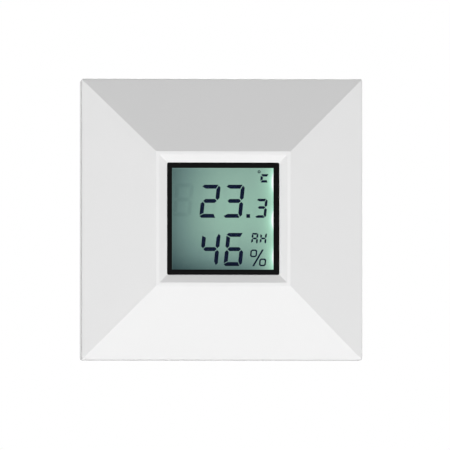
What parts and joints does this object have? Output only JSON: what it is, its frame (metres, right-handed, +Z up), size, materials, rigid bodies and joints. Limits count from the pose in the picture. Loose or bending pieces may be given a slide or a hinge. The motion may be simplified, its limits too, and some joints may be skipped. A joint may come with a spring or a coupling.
{
  "type": "temperature humidity sensor",
  "caption": "Square wall-mounted room sensor: sloped white cover round a backlit display of temperature and relative humidity, on a back plate with screw terminals.",
  "frame": {"origin": "on the wall plane, midway between the two wall screws, which is the middle of the square cover", "axes": "+X to the right seen from the room, +Z up, -Y out of the wall towards the viewer"},
  "size_m": [0.086, 0.02, 0.086],
  "materials": {
    "shell_white": "satin",
    "plate_white": "matte",
    "frame_black": "satin",
    "foam": "matte",
    "film": "gloss",
    "glass": "gloss",
    "seal": "matte",
    "ink": "matte",
    "ink_faint": "matte",
    "diffuser": "matte",
    "light_guide": "gloss",
    "reflector": "matte",
    "led_white": "satin",
    "strip_rubber": "matte",
    "board_green": "satin",
    "package_black": "matte",
    "tin": "satin",
    "ferrite": "matte",
    "ceramic_tan": "satin",
    "ceramic_black": "satin",
    "membrane": "matte",
    "button_grey": "matte",
    "lamp": "gloss",
    "steel": "satin",
    "brass": "satin",
    "terminal_green": "satin"
  },
  "bodies": {
    "base": {"back_plate": "plate_white", "snap_hooks": "plate_white", "terminal_board": "board_green", "terminal_board_screws": "steel", "plug_base": "package_black", "plug_pins": "brass", "terminal_block": "terminal_green", "terminal_bars": "brass"},
    "cover": {"front_bezel": "shell_white", "lcd_gasket": "foam", "lcd_frame": "frame_black", "lcd_front_polarizer": "film", "lcd_front_glass": "glass", "lcd_seal": "seal", "lcd_segments": "ink", "lcd_faint_segments": "ink_faint", "lcd_rear_glass": "glass", "lcd_rear_polarizer": "film", "backlight_diffuser": "diffuser", "backlight_guide": "light_guide", "backlight_reflector": "reflector", "backlight_leds": "led_white", "contact_strips": "strip_rubber", "main_board": "board_green", "controller_chip": "package_black", "transceiver_chip": "package_black", "regulator": "package_black", "chip_leads": "tin", "crystal": "tin", "inductor": "ferrite", "capacitors": "ceramic_tan", "resistors": "ceramic_black", "sensor_chip": "package_black", "sensor_membrane": "membrane", "program_switch": "package_black", "switch_dome": "steel", "status_led": "lamp", "plug_socket": "package_black", "board_screws": "steel"},
    "program_button": {"program_button": "button_grey"},
    "clamp_screw_1": {"clamp_screw_1": "steel"},
    "clamp_cage_1": {"clamp_cage_1": "tin"},
    "clamp_screw_2": {"clamp_screw_2": "steel"},
    "clamp_cage_2": {"clamp_cage_2": "tin"},
    "clamp_screw_3": {"clamp_screw_3": "steel"},
    "clamp_cage_3": {"clamp_cage_3": "tin"},
    "clamp_screw_4": {"clamp_screw_4": "steel"},
    "clamp_cage_4": {"clamp_cage_4": "tin"}
  },
  "joints": [
    {"name": "cover_pull", "type": "slide", "parent": "base", "child": "cover", "axis": [0, -1, 0], "range_m": [0, 0.03], "deforming": ["snap_hooks"]},
    {"name": "program_button_press", "type": "slide", "parent": "cover", "child": "program_button", "axis": [0, -1, 0], "range_m": [0, 0.00025], "stiffness_N_per_m": 2000, "deforming": ["switch_dome"]},
    {"name": "clamp_screw_1_turn", "type": "hinge", "parent": "base", "child": "clamp_screw_1", "pos_m": [-0.0075, -0.0117, 0.02605], "axis": [0, 1, 0], "range_deg": [0, 1040.5]},
    {"name": "clamp_cage_1_lift", "type": "slide", "parent": "base", "child": "clamp_cage_1", "axis": [0, -1, 0], "range_m": [0, 0.0013]},
    {"name": "clamp_screw_2_turn", "type": "hinge", "parent": "base", "child": "clamp_screw_2", "pos_m": [-0.0025, -0.0117, 0.02605], "axis": [0, 1, 0], "range_deg": [0, 1040.5]},
    {"name": "clamp_cage_2_lift", "type": "slide", "parent": "base", "child": "clamp_cage_2", "axis": [0, -1, 0], "range_m": [0, 0.0013]},
    {"name": "clamp_screw_3_turn", "type": "hinge", "parent": "base", "child": "clamp_screw_3", "pos_m": [0.0025, -0.0117, 0.02605], "axis": [0, 1, 0], "range_deg": [0, 1040.5]},
    {"name": "clamp_cage_3_lift", "type": "slide", "parent": "base", "child": "clamp_cage_3", "axis": [0, -1, 0], "range_m": [0, 0.0013]},
    {"name": "clamp_screw_4_turn", "type": "hinge", "parent": "base", "child": "clamp_screw_4", "pos_m": [0.0075, -0.0117, 0.02605], "axis": [0, 1, 0], "range_deg": [0, 1040.5]},
    {"name": "clamp_cage_4_lift", "type": "slide", "parent": "base", "child": "clamp_cage_4", "axis": [0, -1, 0], "range_m": [0, 0.0013]}
  ],
  "couplings": [
    {"joint": "clamp_screw_1_turn", "follows": "clamp_cage_1_lift", "rad_per_m": 13963},
    {"joint": "clamp_screw_2_turn", "follows": "clamp_cage_2_lift", "rad_per_m": 13963},
    {"joint": "clamp_screw_3_turn", "follows": "clamp_cage_3_lift", "rad_per_m": 13963},
    {"joint": "clamp_screw_4_turn", "follows": "clamp_cage_4_lift", "rad_per_m": 13963}
  ]
}
